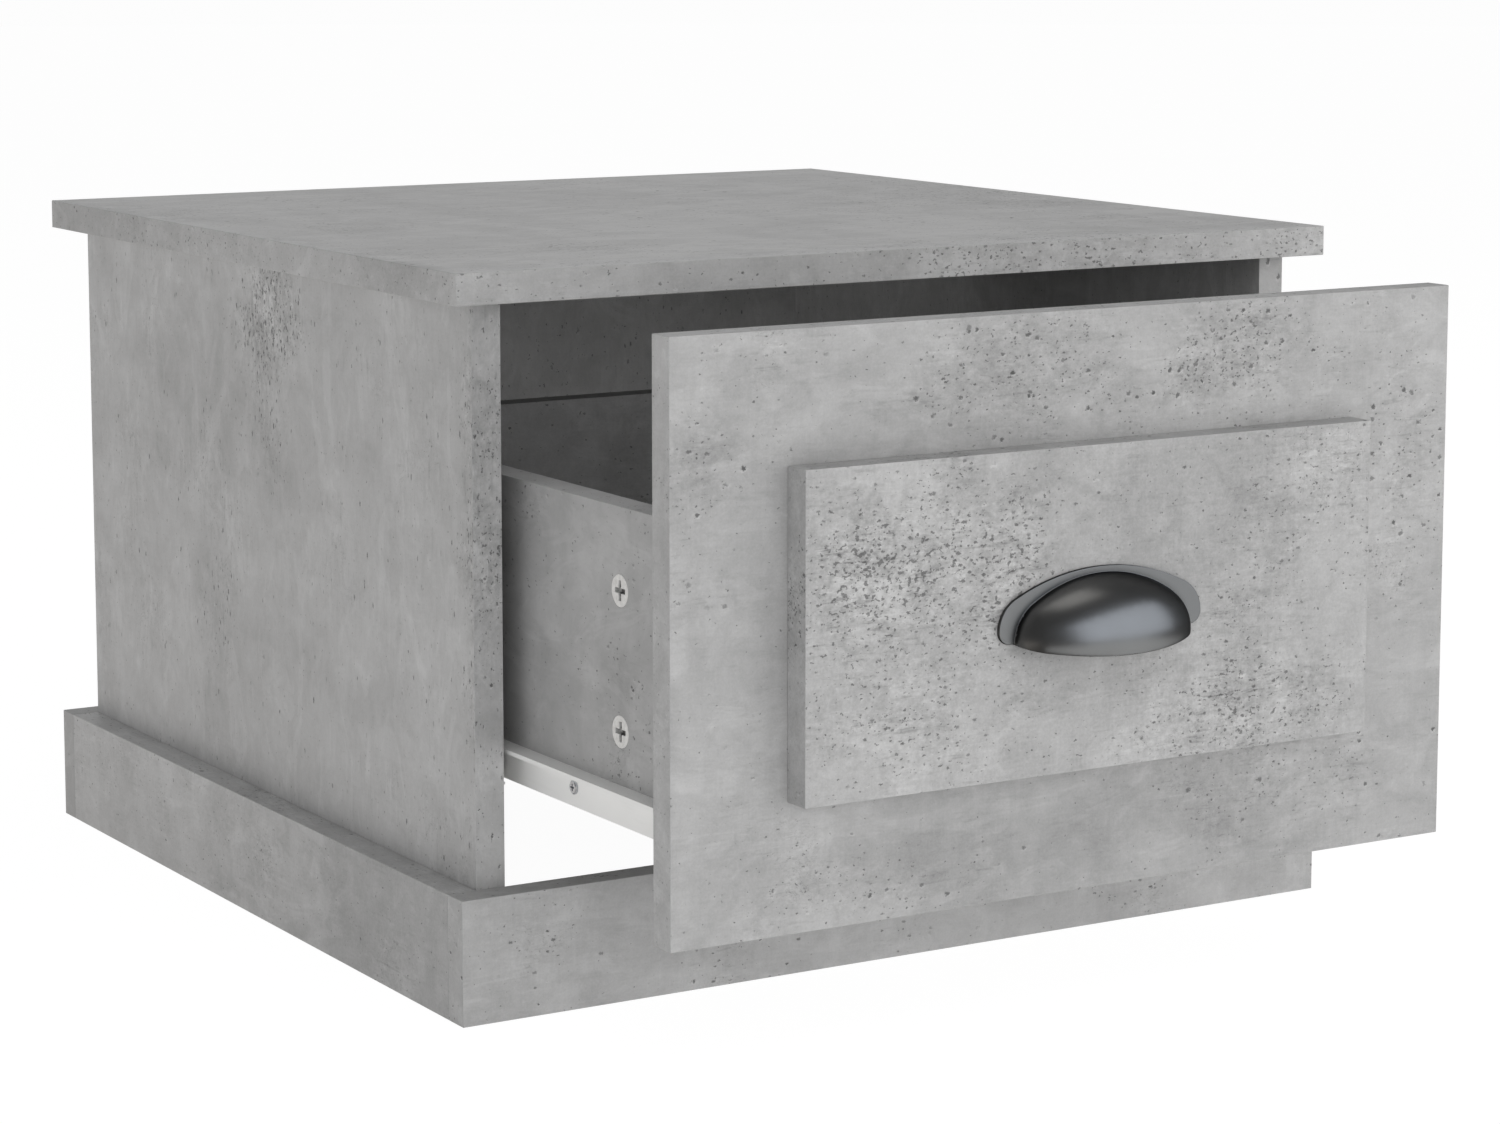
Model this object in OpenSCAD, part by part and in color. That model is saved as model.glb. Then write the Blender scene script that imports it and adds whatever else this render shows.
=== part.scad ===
// Side table with an inset drawer: flat boards, a wrap-around plinth, roller runners and a cup pull.
// Millimetres, +Z up. The front faces -Y. The drawer is stored part open.
// The origin is on the floor, under the middle of the table as stored.

/* [Boards] */
// Thickness of every faced board
board = 15; // [12:0.5:19]
// Width and depth of the square top
top_size = 500; // [400:10:600]
// Height from the floor to the top's upper face
table_height = 350; // [300:5:450]
// How far the top reaches past the carcass on each side
overhang = 15; // [5:1:30]

/* [Plinth] */
// Height of the plinth boards
plinth_height = 60; // [40:5:90]

/* [Drawer] */
// How far the drawer is pulled out as stored
drawer_open = 150; // [0:10:300]
// Gap between the drawer front and each side panel
front_gap = 3; // [1:0.5:5]
// Gap between the drawer front and the boards above and below it
front_gap_z = 2.5; // [1:0.5:5]
// Length of the drawer sides
box_length = 400; // [300:50:400]
// Height of the drawer sides
box_height = 143; // [80:1:200]
// Height of the drawer sides' lower edge above the floor
box_floor = 107.5; // [90:0.5:140]
// Space between the drawer side and the carcass side
runner_space = 12.5; // [12.5:0.1:13]
// Thickness of the drawer's bottom sheet
sheet = 3; // [2.5:0.5:6]
// How deep the bottom sheet sits in its grooves
groove_depth = 6.5; // [4:0.5:8]
// Height of the groove above the drawer side's lower edge
groove_height = 12; // [8:1:20]

/* [Raised panel] */
// Width of the raised panel
panel_width = 315; // [200:5:380]
// Height of the raised panel
panel_height = 150; // [100:5:220]

/* [Runners] */
// Length of each runner member
runner_length = 400; // [300:50:400]
// Sheet thickness of the runner members
runner_sheet = 1.2; // [1:0.1:1.5]
// How far behind the carcass front the runner starts
runner_setback = 17.5; // [10:0.5:37]
// Width of the carcass member's track
track_width = 9.6; // [8:0.1:10]
// Height of the top face of the track's lower flange
track_floor = 105.2; // [104:0.1:107]
// Height of the underside of the track's upper flange
track_roof = 120.8; // [119:0.1:122]
// How far the drawer member's upper flange reaches outwards
rail_width = 9.5; // [8:0.1:10]
// Height of the underside of the drawer member's upper flange
rail_floor = 123; // [122:0.1:125]
// How far the drawer member's lower leg reaches under the drawer side
leg_width = 11; // [8:0.5:14]
// Height of the bump that stops the drawer when it is fully out
stop_bump = 2; // [1:0.5:3]
// How far the drawer still opens from the stored pose
travel_out = 150; // [50:10:150]

/* [Rollers] */
// Radius of the carcass member's front roller
front_roller_radius = 7.6; // [7:0.1:8]
// Radius of the drawer member's rear roller
rear_roller_radius = 7.5; // [7:0.1:8]
// Width of a roller
roller_width = 5.6; // [5:0.1:6]
// Radius of a roller's axle
axle_radius = 2.5; // [2:0.1:3]
// Radial running clearance between roller and axle
axle_clearance = 0.05; // [0.01:0.01:0.1]

/* [Fixings] */
// Radius of a cam lock
cam_radius = 7.5; // [6:0.5:8]
// Depth of a cam lock's pocket
cam_depth = 12.5; // [10:0.5:13]
// Distance from the drawer front to the centre of the drawer's cam locks
cam_setback = 46; // [24:1:50]
// Height of the lower cam lock on the drawer side
cam_low = 148.5; // [130:0.5:160]
// Distance between the two cam locks on a drawer side
cam_spacing = 64; // [32:32:96]
// Radius of a cam bolt's shank
bolt_radius = 3.5; // [3:0.5:4]
// Radius of a wooden dowel
dowel_radius = 4; // [3:0.5:5]
// Length of a wooden dowel
dowel_length = 30; // [25:5:40]

/* [Cup pull] */
// Height of the dome's long axis above the floor
pull_height = 185.3; // [170:0.5:210]
// Half the width of the dome
dome_half = 48.5; // [40:0.5:60]
// Height of the dome above its long axis
dome_rise = 29; // [24:0.5:36]
// Radius of the dome's rounded ends
dome_end = 21; // [14:0.5:24]
// How far the dome's long axis lies behind the panel face
dome_sink = 2; // [0:0.5:4]
// Wall thickness of the dome and the flange
pull_wall = 2; // [1.5:0.1:3]
// How far the mouth's front edge drops below its back edge
mouth_drop = 5.5; // [0:0.5:8]
// Half the width of the flange
flange_half = 56.5; // [50:0.5:70]
// Height of the flange's widest level above the dome's long axis
flange_level = 5.9; // [3:0.1:8]
// Height of the flange above its widest level
flange_rise = 25.7; // [20:0.1:34]
// Radius of the flange's upper ends
flange_end = 16; // [12:0.5:20]
// Distance between the two screw bosses
boss_spacing = 64; // [64:32:96]

/* [Hidden] */
$fn = 48;
// Y of the footprint's centre: the open drawer puts the middle of the whole table in front of it
centre_y = 88;
top_x = top_size / 2;
top_under = table_height - board;
side_out = top_x - overhang;
side_in = side_out - board;
top_front = centre_y - top_x;
top_back = centre_y + top_x;
cab_front = top_front + overhang;
cab_back = top_back - overhang;
back_in = cab_back - board;

face_y = cab_front - drawer_open;
box_front = face_y + board;
box_rear = box_front + box_length;
panel_y = face_y - board;
front_x = side_in - front_gap;
front_low = plinth_height + front_gap_z;
front_high = top_under - front_gap_z;
front_mid = (front_low + front_high) / 2;
box_out = side_in - runner_space;
box_in = box_out - board;
box_top = box_floor + box_height;
groove_low = box_floor + groove_height;
back_y = box_rear - board;

run_front = cab_front + runner_setback;
run_back = run_front + runner_length;
web_in = side_in - runner_sheet;
track_in = side_in - track_width;
rail_out = box_out + rail_width;
rail_web = box_out + runner_sheet;
rail_low = box_floor - runner_sheet;
rail_high = rail_floor + runner_sheet;
front_axle_y = run_front + 8;
front_axle_z = rail_floor - 0.2 - front_roller_radius;
rear_axle_y = box_rear - 6.5;
rear_axle_z = track_floor + 0.2 + rear_roller_radius;
front_roller_x = track_in;
rear_roller_x = rail_web + 1.1;
bump_y = rear_axle_y - travel_out - 5.8;
rail_screw_z = 115.4;
rail_screw_ys = [box_front + 87, box_front + 247, box_front + 343];
track_screw_z = (track_floor + track_roof) / 2;
track_screw_ys = [cab_front + 37, cab_front + 229, cab_front + 389];
track_slot_ys = [cab_front + 85, cab_front + 133, cab_front + 293, cab_front + 341];

cam_zs = [cam_low, cam_low + cam_spacing];
cam_y = box_front + cam_setback;
box_mid = (box_in + box_out) / 2;
side_mid = (side_in + side_out) / 2;
top_cam_z = top_under - 34;
top_cam_ys = [centre_y - 180, centre_y + 180];
top_dowel_ys = [centre_y - 120, centre_y + 120];
back_dowel_xs = [-120, 120];
back_dowel_y = (back_in + cab_back) / 2;
back_dowel_zs = [80, 180, 280];
plinth_dowel_zs = [18, 44];
side_screw_ys = [centre_y - 150, centre_y, centre_y + 150];
back_screw_xs = [-150, 0, 150];
plinth_screw_z = plinth_height / 2;
box_screw_zs = [cam_low - 4, cam_low + cam_spacing + 4];
box_screw_y = (back_y + box_rear) / 2;
panel_screw_x = 130;
panel_screw_z = 50;
boss_z = pull_height + 12;
boss_x = boss_spacing / 2;

board_grey = [0.58, 0.58, 0.57];
sheet_grey = [0.45, 0.45, 0.44];
epoxy_white = [0.90, 0.89, 0.86];
nylon_white = [0.95, 0.95, 0.94];
zinc_grey = [0.72, 0.73, 0.74];
gunmetal = [0.27, 0.27, 0.28];
dowel_wood = [0.80, 0.65, 0.45];

// A box between two corners
module block(low, high) {
    translate(low)
        cube(high - low);
}

// A rod along X from x0 to x1
module rod_x(x0, x1, y, z, r, r_end = -1) {
    translate([x0, y, z])
        rotate([0, 90, 0])
            cylinder(h = x1 - x0, r1 = r, r2 = r_end < 0 ? r : r_end);
}

// A rod along Y from y0 to y1
module rod_y(x, y0, y1, z, r, r_end = -1) {
    translate([x, y0, z])
        rotate([-90, 0, 0])
            cylinder(h = y1 - y0, r1 = r, r2 = r_end < 0 ? r : r_end);
}

// A rod along Z from z0 to z1
module rod_z(x, y, z0, z1, r) {
    translate([x, y, z0])
        cylinder(h = z1 - z0, r = r);
}

// Everything made for the right side, and its mirror image on the left
module both_sides() {
    children();
    mirror([1, 0, 0])
        children();
}

module on_left() {
    mirror([1, 0, 0])
        children();
}

// Screws and bolts. Each lies along +Z with its head's top at z = 0.
// A cross recess r wide
module cross_recess(r, depth) {
    for (turn = [0, 90])
        rotate(turn)
            translate([-r, -r / 4, -depth])
                cube([2 * r, r / 2, depth + 1]);
}

// A countersunk screw, and the hole that it fills
module flush_screw(r, length, head_r, hole = false) {
    difference() {
        union() {
            translate([0, 0, -length])
                cylinder(h = length, r = r);
            translate([0, 0, r - head_r])
                cylinder(h = head_r - r, r1 = r, r2 = head_r);
        }
        if (!hole)
            cross_recess(head_r * 0.45, head_r * 0.4);
    }
}

// A flat-headed screw whose head sits on z = 0
module flat_screw(r, length, head_r, head_h) {
    difference() {
        union() {
            translate([0, 0, -length])
                cylinder(h = length, r = r);
            cylinder(h = head_h * 0.6, r = head_r);
            translate([0, 0, head_h * 0.6])
                cylinder(h = head_h * 0.4, r1 = head_r, r2 = head_r * 0.8);
        }
        translate([0, 0, head_h])
            cross_recess(head_r * 0.5, head_h * 0.8);
    }
}

// A cam lock: its face at z = 0, its body below, and its mouth towards +X
module cam_lock() {
    difference() {
        translate([0, 0, 0.5 - cam_depth])
            cylinder(h = cam_depth - 0.5, r = cam_radius);
        cross_recess(cam_radius * 0.62, 2.5);
        translate([0, 0, -board / 2])
            rotate([0, 90, 0])
                cylinder(h = cam_radius + 1, r = bolt_radius + 0.2);
        translate([0, 0, -board / 2])
            sphere(r = bolt_radius + 0.2);
    }
}

// A cam bolt along +Z: its thread ends at z = -11, its head in the cam at z = reach
module cam_bolt(reach) {
    translate([0, 0, -11])
        cylinder(h = 11, r = 3);
    cylinder(h = reach - cam_radius - 1, r = bolt_radius);
    translate([0, 0, reach - cam_radius - 1])
        cylinder(h = cam_radius - 1.5, r = 2);
    translate([0, 0, reach - 3])
        cylinder(h = 3, r = 3);
}

module cam_bolt_hole(reach) {
    translate([0, 0, -11])
        cylinder(h = 11.01, r = 3);
    cylinder(h = reach, r = bolt_radius);
}

// Places for what stands in a row
module drawer_cam_places() {
    for (z = cam_zs)
        translate([box_out, cam_y, z])
            rotate([0, 90, 0])
                rotate(-90)
                    children();
}

module drawer_bolt_places() {
    for (z = cam_zs)
        translate([box_mid, box_front, z])
            rotate([-90, 0, 0])
                children();
}

module top_cam_places() {
    for (y = top_cam_ys)
        translate([side_in, y, top_cam_z])
            rotate([0, -90, 0])
                children();
}

module top_bolt_places() {
    for (y = top_cam_ys)
        translate([side_mid, y, top_under])
            rotate([180, 0, 0])
                children();
}

module side_screw_places() {
    for (y = side_screw_ys)
        translate([side_in, y, plinth_screw_z])
            rotate([0, -90, 0])
                children();
}

module back_screw_places() {
    for (x = back_screw_xs)
        translate([x, back_in, plinth_screw_z])
            rotate([90, 0, 0])
                children();
}

module box_screw_places() {
    for (z = box_screw_zs)
        translate([box_out, box_screw_y, z])
            rotate([0, 90, 0])
                children();
}

module panel_screw_places() {
    for (x = [-panel_screw_x, panel_screw_x])
        for (z = [front_mid - panel_screw_z, front_mid + panel_screw_z])
            translate([x, box_front, z])
                rotate([-90, 0, 0])
                    children();
}

module boss_places() {
    for (x = [-boss_x, boss_x])
        translate([x, 0, boss_z])
            children();
}

module track_screw_places() {
    for (y = track_screw_ys)
        translate([web_in, y, track_screw_z])
            rotate([0, -90, 0])
                children();
}

module rail_screw_places() {
    for (y = rail_screw_ys)
        translate([rail_web, y, rail_screw_z])
            rotate([0, 90, 0])
                children();
}

// Wooden dowels, all on the right side
module top_dowel_rods() {
    for (y = top_dowel_ys)
        rod_z(side_mid, y, top_under - dowel_length + 10, top_under + 10, dowel_radius);
}

module back_end_dowel_rods() {
    for (z = back_dowel_zs)
        rod_x(side_in - dowel_length + 10, side_in + 10, back_dowel_y, z, dowel_radius);
}

module back_top_dowel_rods() {
    for (x = back_dowel_xs)
        rod_z(x, back_dowel_y, top_under - dowel_length + 10, top_under + 10, dowel_radius);
}

module plinth_dowel_rods() {
    for (z = plinth_dowel_zs)
        rod_y(side_mid, cab_front - 10, cab_front - 10 + dowel_length, z, dowel_radius);
}

module drawer_dowel_rods() {
    rod_y(box_mid, box_front - 10, box_front - 10 + dowel_length, cam_low + cam_spacing / 2,
        dowel_radius);
}

// Carcass
module top_panel() {
    color(board_grey)
        difference() {
            block([-top_x, top_front, top_under], [top_x, top_back, table_height]);
            both_sides() {
                top_bolt_places()
                    cam_bolt_hole(10);
                top_dowel_rods();
            }
            back_top_dowel_rods();
        }
}

module side_panel() {
    color(board_grey)
        difference() {
            block([side_in, cab_front, 0], [side_out, cab_back, top_under]);
            top_cam_places()
                translate([0, 0, -cam_depth])
                    cylinder(h = cam_depth + 1, r = cam_radius);
            top_bolt_places()
                cam_bolt_hole(34);
            top_dowel_rods();
            back_end_dowel_rods();
            plinth_dowel_rods();
            side_screw_places()
                flush_screw(2, 26, 4, hole = true);
            track_screw_places()
                translate([0, 0, -13])
                    cylinder(h = 13, r = 2);
        }
}

module left_side_panel() {
    on_left()
        side_panel();
}

module right_side_panel() {
    side_panel();
}

module back_panel() {
    color(board_grey)
        difference() {
            block([-side_in, back_in, 0], [side_in, cab_back, top_under]);
            both_sides()
                back_end_dowel_rods();
            back_top_dowel_rods();
            back_screw_places()
                flush_screw(2, 26, 4, hole = true);
        }
}

module plinth_front() {
    color(board_grey)
        difference() {
            block([-top_x, top_front, 0], [top_x, cab_front, plinth_height]);
            both_sides()
                plinth_dowel_rods();
        }
}

module plinth_back() {
    color(board_grey)
        difference() {
            block([-top_x, cab_back, 0], [top_x, top_back, plinth_height]);
            back_screw_places()
                flush_screw(2, 26, 4, hole = true);
        }
}

module plinth_side() {
    color(board_grey)
        difference() {
            block([side_out, cab_front, 0], [top_x, cab_back, plinth_height]);
            side_screw_places()
                flush_screw(2, 26, 4, hole = true);
        }
}

module plinth_left() {
    on_left()
        plinth_side();
}

module plinth_right() {
    plinth_side();
}

// Carcass runner: a track open towards the drawer, its roof cut away over the front roller
module cabinet_runner() {
    color(epoxy_white)
        difference() {
            union() {
                block([web_in, run_front, track_floor - runner_sheet],
                    [side_in, run_back, track_roof + runner_sheet]);
                block([track_in, run_front, track_floor - runner_sheet],
                    [side_in, run_back, track_floor]);
                block([track_in, run_front + 17.5, track_roof],
                    [side_in, run_back, track_roof + runner_sheet]);
                block([track_in, run_back - runner_sheet, track_floor - runner_sheet],
                    [side_in, run_back, track_roof + runner_sheet]);
                rod_x(track_in, side_in, bump_y, track_floor, stop_bump);
            }
            block([track_in - 1, bump_y - 5, track_floor - 5],
                [side_in + 1, bump_y + 5, track_floor - runner_sheet]);
            track_screw_places()
                translate([0, 0, -runner_sheet])
                    cylinder(h = runner_sheet + 1, r = 2);
            for (y = track_slot_ys)
                for (end = [-4, 4])
                    rod_x(web_in - 1, side_in + 1, y + end, track_screw_z, 2.2);
            for (y = track_slot_ys)
                block([web_in - 1, y - 4, track_screw_z - 2.2],
                    [side_in + 1, y + 4, track_screw_z + 2.2]);
            rod_x(web_in - 1, side_in + 1, front_axle_y, front_axle_z, axle_radius);
        }
}

module left_cabinet_runner() {
    on_left()
        cabinet_runner();
}

module right_cabinet_runner() {
    cabinet_runner();
}

// An axle riveted into a web at z = 0, with a head that holds a roller from z = gap
module roller_axle(gap) {
    translate([0, 0, -runner_sheet])
        cylinder(h = runner_sheet + gap + roller_width - 0.3, r = axle_radius);
    cylinder(h = gap - 0.1, r = 4);
    translate([0, 0, gap + roller_width - 1])
        cylinder(h = 0.7, r = 3.6);
}

// A roller from z = 0, its counterbore for the axle's head on top
module roller(r) {
    color(nylon_white)
        difference() {
            union() {
                cylinder(h = 0.5, r1 = r - 0.5, r2 = r);
                translate([0, 0, 0.5])
                    cylinder(h = roller_width - 1, r = r);
                translate([0, 0, roller_width - 0.5])
                    cylinder(h = 0.5, r1 = r, r2 = r - 0.5);
            }
            translate([0, 0, -1])
                cylinder(h = roller_width + 2, r = axle_radius + axle_clearance);
            translate([0, 0, roller_width - 1.1])
                cylinder(h = 2, r = 4.2);
        }
}

module front_roller_axles() {
    color(zinc_grey)
        both_sides()
            translate([web_in, front_axle_y, front_axle_z])
                rotate([0, -90, 0])
                    roller_axle(web_in - front_roller_x - roller_width);
}

module front_roller() {
    translate([front_roller_x + roller_width, front_axle_y, front_axle_z])
        rotate([0, -90, 0])
            roller(front_roller_radius);
}

module left_front_roller() {
    on_left()
        front_roller();
}

module right_front_roller() {
    front_roller();
}

module rear_roller_axles() {
    color(zinc_grey)
        both_sides()
            translate([rail_web, rear_axle_y, rear_axle_z])
                rotate([0, 90, 0])
                    roller_axle(rear_roller_x - rail_web);
}

module rear_roller() {
    translate([rear_roller_x, rear_axle_y, rear_axle_z])
        rotate([0, 90, 0])
            roller(rear_roller_radius);
}

module left_rear_roller() {
    on_left()
        rear_roller();
}

module right_rear_roller() {
    rear_roller();
}

module cabinet_runner_screws() {
    color(zinc_grey)
        both_sides()
            track_screw_places()
                flat_screw(2, 13, 3.6, 1.6);
}

module top_cam_locks() {
    color(zinc_grey)
        both_sides()
            top_cam_places()
                cam_lock();
}

module top_cam_bolts() {
    color(zinc_grey)
        both_sides()
            top_bolt_places()
                cam_bolt(34);
}

module carcass_dowels() {
    color(dowel_wood) {
        both_sides() {
            top_dowel_rods();
            back_end_dowel_rods();
            plinth_dowel_rods();
        }
        back_top_dowel_rods();
    }
}

module plinth_screws() {
    color(zinc_grey) {
        both_sides()
            side_screw_places()
                flush_screw(2, 26, 4);
        back_screw_places()
            flush_screw(2, 26, 4);
    }
}

// Drawer
module drawer_front() {
    color(board_grey)
        difference() {
            block([-front_x, face_y, front_low], [front_x, box_front, front_high]);
            block([-box_in - groove_depth, box_front - 6, groove_low],
                [box_in + groove_depth, box_front + 1, groove_low + sheet]);
            both_sides() {
                drawer_bolt_places()
                    cam_bolt_hole(5);
                drawer_dowel_rods();
            }
            panel_screw_places()
                flush_screw(1.75, 26, 3.5, hole = true);
            boss_places()
                rod_y(0, panel_y - 1, box_front + 1, 0, 2);
        }
}

module drawer_raised_panel() {
    color(board_grey)
        difference() {
            block([-panel_width / 2, panel_y, front_mid - panel_height / 2],
                [panel_width / 2, face_y, front_mid + panel_height / 2]);
            panel_screw_places()
                flush_screw(1.75, 26, 3.5, hole = true);
            boss_places()
                rod_y(0, panel_y - 1, box_front + 1, 0, 2);
        }
}

module drawer_side() {
    color(board_grey)
        difference() {
            block([box_in, box_front, box_floor], [box_out, box_rear, box_top]);
            block([box_in - 1, box_front - 1, groove_low],
                [box_in + groove_depth, box_rear + 1, groove_low + sheet]);
            drawer_cam_places()
                translate([0, 0, -cam_depth])
                    cylinder(h = cam_depth + 1, r = cam_radius);
            drawer_bolt_places()
                cam_bolt_hole(cam_setback);
            drawer_dowel_rods();
            box_screw_places()
                flush_screw(2.5, 40, 4.5, hole = true);
            rail_screw_places()
                translate([0, 0, -12])
                    cylinder(h = 12, r = 1.75);
        }
}

module drawer_left_side() {
    on_left()
        drawer_side();
}

module drawer_right_side() {
    drawer_side();
}

module drawer_back() {
    color(board_grey)
        difference() {
            block([-box_in, back_y, box_floor], [box_in, box_rear, box_top]);
            block([-box_in - 1, back_y - 1, groove_low],
                [box_in + 1, back_y + groove_depth, groove_low + sheet]);
            both_sides()
                box_screw_places()
                    flush_screw(2.5, 40, 4.5, hole = true);
        }
}

module drawer_bottom() {
    color(sheet_grey)
        block([-box_in - groove_depth, box_front - 6, groove_low],
            [box_in + groove_depth, back_y + groove_depth, groove_low + sheet]);
}

// Drawer runner: web on the drawer side, leg under it, upper flange on the carcass's roller
module drawer_runner() {
    color(epoxy_white)
        difference() {
            union() {
                block([box_out, box_front, rail_low], [rail_web, box_rear, rail_high]);
                block([rail_web - runner_sheet - leg_width, box_front, rail_low],
                    [rail_web, box_rear, box_floor]);
                block([box_out, box_front, rail_floor], [rail_out, box_rear, rail_high]);
                block([rail_out - 0.8, box_front, rail_floor - 0.8],
                    [rail_out, box_rear, rail_high]);
            }
            rail_screw_places()
                translate([0, 0, -runner_sheet])
                    cylinder(h = runner_sheet + 1, r = 1.75);
            rod_x(box_out - 1, rail_web + 1, rear_axle_y, rear_axle_z, axle_radius);
        }
}

module left_drawer_runner() {
    on_left()
        drawer_runner();
}

module right_drawer_runner() {
    drawer_runner();
}

module drawer_runner_screws() {
    color(zinc_grey)
        both_sides()
            rail_screw_places()
                flat_screw(1.75, 12, 3.3, 1.2);
}

module drawer_cam_locks() {
    color(zinc_grey)
        both_sides()
            drawer_cam_places()
                cam_lock();
}

module drawer_cam_bolts() {
    color(zinc_grey)
        both_sides()
            drawer_bolt_places()
                cam_bolt(cam_setback);
}

module drawer_dowels() {
    color(dowel_wood)
        both_sides()
            drawer_dowel_rods();
}

module drawer_back_screws() {
    color(zinc_grey)
        both_sides()
            box_screw_places()
                flush_screw(2.5, 40, 4.5);
}

module raised_panel_screws() {
    color(zinc_grey)
        panel_screw_places()
            flush_screw(1.75, 26, 3.5);
}

// Cup pull
// A three-arc arch: half its span along Y, its rise along +X, its end arcs on the Y axis
module arch(span, rise, end_r) {
    d = (pow(span - end_r, 2) - pow(rise - end_r, 2)) / (2 * (rise - end_r));
    big = rise + d;
    join = (span - end_r) * big / (big - end_r);
    intersection() {
        union() {
            intersection() {
                translate([-d, 0])
                    circle(r = big, $fn = 180);
                translate([0, -join])
                    square([big, 2 * join]);
            }
            for (end = [-1, 1])
                translate([0, end * (span - end_r)])
                    circle(r = end_r, $fn = 96);
        }
        translate([0, -2 * span])
            square([2 * rise, 4 * span]);
    }
}

// The dome's body of revolution about its long axis, wall mm inside its outer face
module dome(wall) {
    translate([0, panel_y + dome_sink, pull_height])
        rotate([0, 90, 0])
            rotate_extrude($fn = 96)
                dome_profile(wall);
}

module dome_profile(wall) {
    d = (pow(dome_half - dome_end, 2) - pow(dome_rise - dome_end, 2)) / (2 * (dome_rise - dome_end));
    big = dome_rise + d;
    join = (dome_half - dome_end) * big / (big - dome_end);
    intersection() {
        union() {
            intersection() {
                translate([-d, 0])
                    circle(r = big - wall, $fn = 180);
                translate([0, -join])
                    square([big, 2 * join]);
            }
            for (end = [-1, 1])
                translate([0, end * (dome_half - dome_end)])
                    circle(r = dome_end - wall, $fn = 96);
        }
        translate([0, -2 * dome_half])
            square([2 * dome_rise, 4 * dome_half]);
    }
}

// The flange's outline in X and Z, standing on z = 0
module flange_plate() {
    translate([0, panel_y, pull_height])
        rotate([90, 0, 0])
            linear_extrude(pull_wall)
                union() {
                    translate([0, flange_level])
                        rotate(90)
                            arch(flange_half, flange_rise, flange_end);
                    translate([flange_level - flange_half, 0])
                        square([2 * (flange_half - flange_level), flange_level + 1]);
                    for (side = [-1, 1])
                        translate([side * (flange_half - flange_level), flange_level])
                            circle(r = flange_level);
                }
}

// All that lies below the mouth's sloping plane
module below_mouth() {
    translate([0, panel_y, pull_height])
        rotate([atan(mouth_drop / (dome_rise - dome_sink)), 0, 0])
            translate([-100, -100, -100])
                cube([200, 200, 100]);
}

module behind_panel() {
    translate([-100, panel_y, 100])
        cube([200, 100, 200]);
}

module cup_pull() {
    color(gunmetal)
        difference() {
            union() {
                difference() {
                    union() {
                        flange_plate();
                        difference() {
                            dome(0);
                            below_mouth();
                            behind_panel();
                        }
                    }
                    dome(pull_wall);
                }
                intersection() {
                    boss_places()
                        rod_y(0, panel_y - 14, panel_y, 0, 4);
                    dome(pull_wall / 2);
                }
            }
            boss_places()
                rod_y(0, panel_y - 10, panel_y + 1, 0, 2);
        }
}

module cup_pull_screws() {
    color(zinc_grey)
        boss_places()
            translate([0, box_front, 0])
                rotate([-90, 0, 0])
                    flat_screw(2, 39, 4, 2.4);
}

top_panel();
left_side_panel();
right_side_panel();
back_panel();
plinth_front();
plinth_back();
plinth_left();
plinth_right();
left_cabinet_runner();
right_cabinet_runner();
front_roller_axles();
cabinet_runner_screws();
top_cam_locks();
top_cam_bolts();
carcass_dowels();
plinth_screws();
drawer_front();
drawer_raised_panel();
drawer_left_side();
drawer_right_side();
drawer_back();
drawer_bottom();
cup_pull();
cup_pull_screws();
raised_panel_screws();
drawer_cam_locks();
drawer_cam_bolts();
drawer_dowels();
drawer_back_screws();
left_drawer_runner();
right_drawer_runner();
drawer_runner_screws();
rear_roller_axles();
left_front_roller();
right_front_roller();
left_rear_roller();
right_rear_roller();
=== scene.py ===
# %% [markdown]
# # A side table with a drawer, dressed over its solids
# The table is flat-pack furniture: flat boards with a printed concrete-look foil, a drawer on
# white roller runners and one dark metal cup pull. The solids already have the right size and
# joints, so this lesson adds what they lack: the foil's print and pits, the softened edges, the
# metals, a camera and a studio. Every finish is made of noise and sums instead of images, so
# that it stays sharp close up. Everything is in metres, with the floor at z = 0 and the front
# towards -Y.

# %% The packed solids
import math

import bpy
from mathutils import Euler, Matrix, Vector

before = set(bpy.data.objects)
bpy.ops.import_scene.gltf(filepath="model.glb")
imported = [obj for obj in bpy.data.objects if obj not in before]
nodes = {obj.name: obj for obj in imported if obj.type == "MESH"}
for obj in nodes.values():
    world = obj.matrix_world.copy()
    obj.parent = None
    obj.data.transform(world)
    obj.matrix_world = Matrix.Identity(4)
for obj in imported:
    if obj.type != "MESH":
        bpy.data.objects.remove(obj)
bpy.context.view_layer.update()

# %% [markdown]
# ## The camera
# A long lens from the front left, a little above the top, shows the front, the left side, the
# top and the inside of the open drawer at once. A lens keeps upright edges upright only when it
# looks straight ahead, so a small shift lowers the picture instead of tilting the lens further.

# %% The camera
lens = bpy.data.cameras.new("studio_lens")
lens.lens = 94.1
lens.sensor_width = 36.0
lens.shift_y = -0.10
lens.clip_end = 60.0
camera = bpy.data.objects.new("studio_camera", lens)
camera.location = (-1.0430, -1.7372, 0.5190)
camera.rotation_euler = Euler((math.radians(90 - 7.51), 0.0, math.radians(-31.03)), "XYZ")
bpy.context.scene.collection.objects.link(camera)
bpy.context.scene.camera = camera
print("camera at", tuple(round(c, 3) for c in camera.location), "lens", round(lens.lens, 1), "mm")

# %% [markdown]
# ## Shader maths as plain sums
# A material is a web of nodes. Wiring each one by hand hides the idea, so one small class holds
# an output socket and turns + - * / into Math nodes. Its one method `node` adds any other node:
# the settings first, then the values or links of the sockets.

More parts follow.
